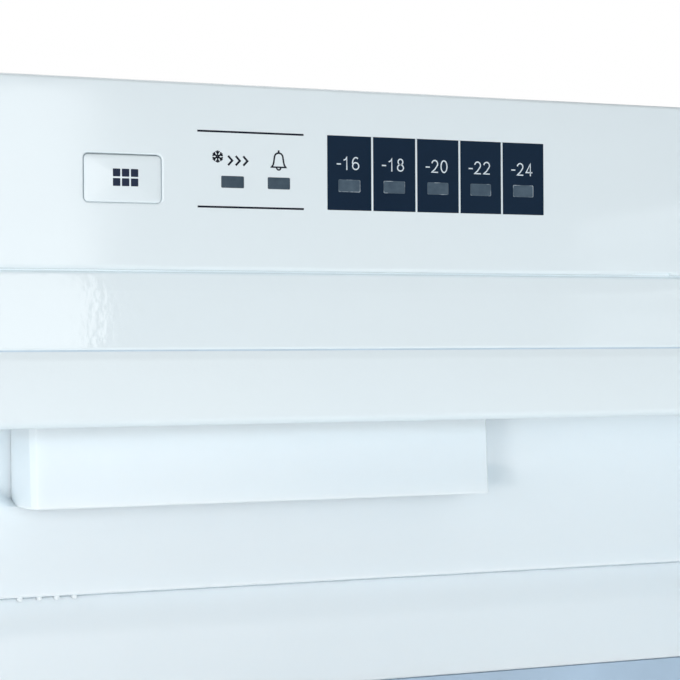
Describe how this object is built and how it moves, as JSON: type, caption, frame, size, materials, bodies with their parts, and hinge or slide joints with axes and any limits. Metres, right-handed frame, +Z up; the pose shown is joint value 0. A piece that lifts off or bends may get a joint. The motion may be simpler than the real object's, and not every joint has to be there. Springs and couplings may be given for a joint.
{
  "type": "built-in drawer freezer",
  "caption": "Upright built-in freezer with a side-hinged door, pull-out drawers with recessed grips, a control strip with a push button and a smoked temperature display.",
  "frame": {"origin": "centre of the cabinet in width and depth, on the plane that it stands on, at the underside of the base cross member", "axes": "+Z up, -Y out of the front where the drawers pull out, +X towards the door's hinges"},
  "size_m": [0.7281, 1.0155, 0.8773],
  "materials": {
    "gloss_white_plastic": "gloss",
    "satin_white_plastic": "satin",
    "white_painted_steel": "gloss",
    "clear_tub_plastic": "gloss",
    "smoked_plastic": "gloss",
    "lamp_grey_plastic": "gloss",
    "rigid_foam": "matte",
    "zinc_steel": "satin",
    "roll_bond_aluminium": "satin",
    "black_steel": "satin",
    "black_plastic": "matte",
    "black_rubber": "matte",
    "grey_seal": "matte",
    "copper_tube": "satin",
    "circuit_board": "satin",
    "light_guide_plastic": "gloss"
  },
  "bodies": {
    "cabinet": {"alarm_lamp_lens": "lamp_grey_plastic", "back_panel": "zinc_steel", "base_cross_member": "black_plastic", "base_panel": "zinc_steel", "base_runner_left": "black_plastic", "base_runner_right": "black_plastic", "button_switch": "black_plastic", "cabinet_foam": "rigid_foam", "cabinet_liner": "satin_white_plastic", "compressor_base": "zinc_steel", "compressor_bay_roof": "zinc_steel", "compressor_bay_wall": "zinc_steel", "compressor_grommet_1": "black_rubber", "compressor_grommet_2": "black_rubber", "compressor_grommet_3": "black_rubber", "compressor_grommet_4": "black_rubber", "compressor_lower_shell": "black_steel", "compressor_motor": "zinc_steel", "compressor_upper_shell": "black_steel", "condenser_pipe": "black_steel", "condenser_plate": "black_steel", "control_board": "circuit_board", "control_fascia": "gloss_white_plastic", "control_housing": "satin_white_plastic", "discharge_line": "copper_tube", "display_window": "smoked_plastic", "evaporation_tray": "black_plastic", "evaporator_shelf_1": "roll_bond_aluminium", "evaporator_shelf_2": "roll_bond_aluminium", "evaporator_shelf_3": "roll_bond_aluminium", "filter_dryer": "copper_tube", "left_side_panel": "white_painted_steel", "light_guide": "light_guide_plastic", "lower_front_rail": "white_painted_steel", "lower_hinge_bracket": "zinc_steel", "mains_inlet": "black_plastic", "right_side_panel": "white_painted_steel", "start_relay_cover": "black_plastic", "suction_line": "copper_tube", "super_lamp_lens": "lamp_grey_plastic", "top_panel": "white_painted_steel", "upper_front_rail": "white_painted_steel", "upper_hinge_bracket": "zinc_steel"},
    "button": {"push_button": "gloss_white_plastic"},
    "door": {"door_bottom_cap": "gloss_white_plastic", "door_foam": "rigid_foam", "door_gasket": "grey_seal", "door_liner": "satin_white_plastic", "door_outer_panel": "white_painted_steel", "door_top_cap": "gloss_white_plastic", "lower_hinge_bush": "black_plastic", "upper_hinge_bush": "black_plastic"},
    "drawer_1": {"drawer_1_front": "satin_white_plastic", "drawer_1_tub": "clear_tub_plastic"},
    "drawer_2": {"drawer_2_front": "satin_white_plastic", "drawer_2_tub": "clear_tub_plastic"},
    "drawer_3": {"drawer_3_front": "satin_white_plastic", "drawer_3_tub": "clear_tub_plastic"},
    "drawer_4": {"drawer_4_front": "satin_white_plastic", "drawer_4_tub": "clear_tub_plastic"}
  },
  "joints": [
    {"name": "door_hinge", "type": "hinge", "parent": "cabinet", "child": "door", "pos_m": [0.258, -0.278, 0.45], "axis": [0, 0, 1], "range_deg": [-110, 0]},
    {"name": "button_press", "type": "slide", "parent": "cabinet", "child": "button", "axis": [0, 1, 0], "range_m": [0, 0.001], "stiffness_N_per_m": 600},
    {"name": "drawer_1_slide", "type": "slide", "parent": "cabinet", "child": "drawer_1", "axis": [0, -1, 0], "range_m": [0, 0.3]},
    {"name": "drawer_2_slide", "type": "slide", "parent": "cabinet", "child": "drawer_2", "axis": [0, -1, 0], "range_m": [0, 0.3]},
    {"name": "drawer_3_slide", "type": "slide", "parent": "cabinet", "child": "drawer_3", "axis": [0, -1, 0], "range_m": [0, 0.3]},
    {"name": "drawer_4_slide", "type": "slide", "parent": "cabinet", "child": "drawer_4", "axis": [0, -1, 0], "range_m": [0, 0.17]}
  ]
}
